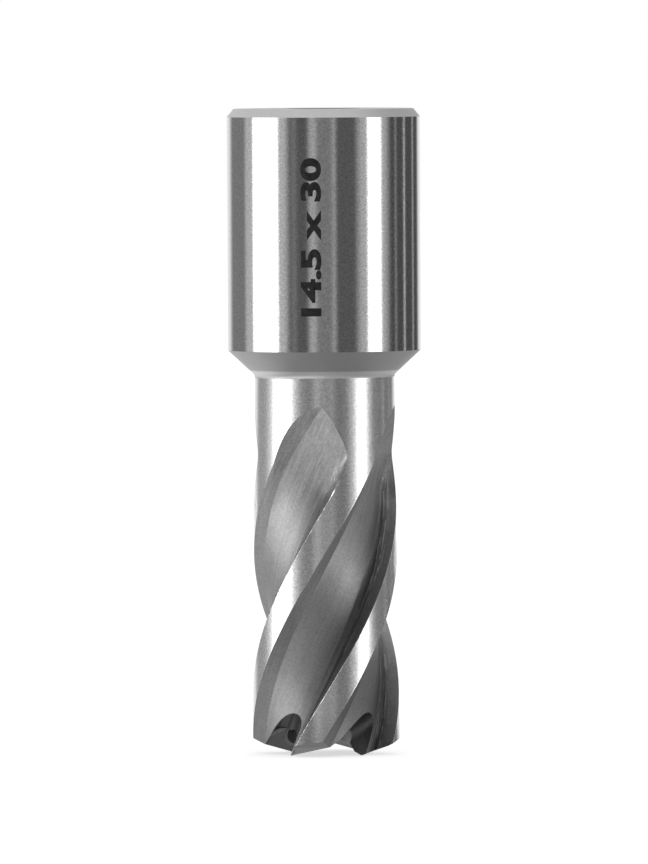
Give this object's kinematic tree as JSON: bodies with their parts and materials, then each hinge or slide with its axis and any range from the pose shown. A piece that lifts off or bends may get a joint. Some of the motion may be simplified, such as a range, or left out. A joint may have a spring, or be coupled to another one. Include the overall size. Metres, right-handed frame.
{
  "type": "annular cutter",
  "caption": "One-piece steel annular cutter: weldon-type shank, hollow core, helical flutes and slotted end teeth that cut a ring-shaped groove and leave a slug.",
  "frame": {"origin": "on the cutter's axis, in the plane of the tooth tips", "axes": "+Z along the cutter's axis from the teeth to the shank, -Y towards the side that is seen from the front"},
  "size_m": [0.019, 0.019, 0.0636],
  "materials": {
    "steel": "ground high-speed steel: bright cylindrically ground shank, neck and lands, satin wheel-ground flutes, chamfers and teeth"
  },
  "bodies": {
    "root": {"annular_cutter": "steel"}
  },
  "joints": []
}
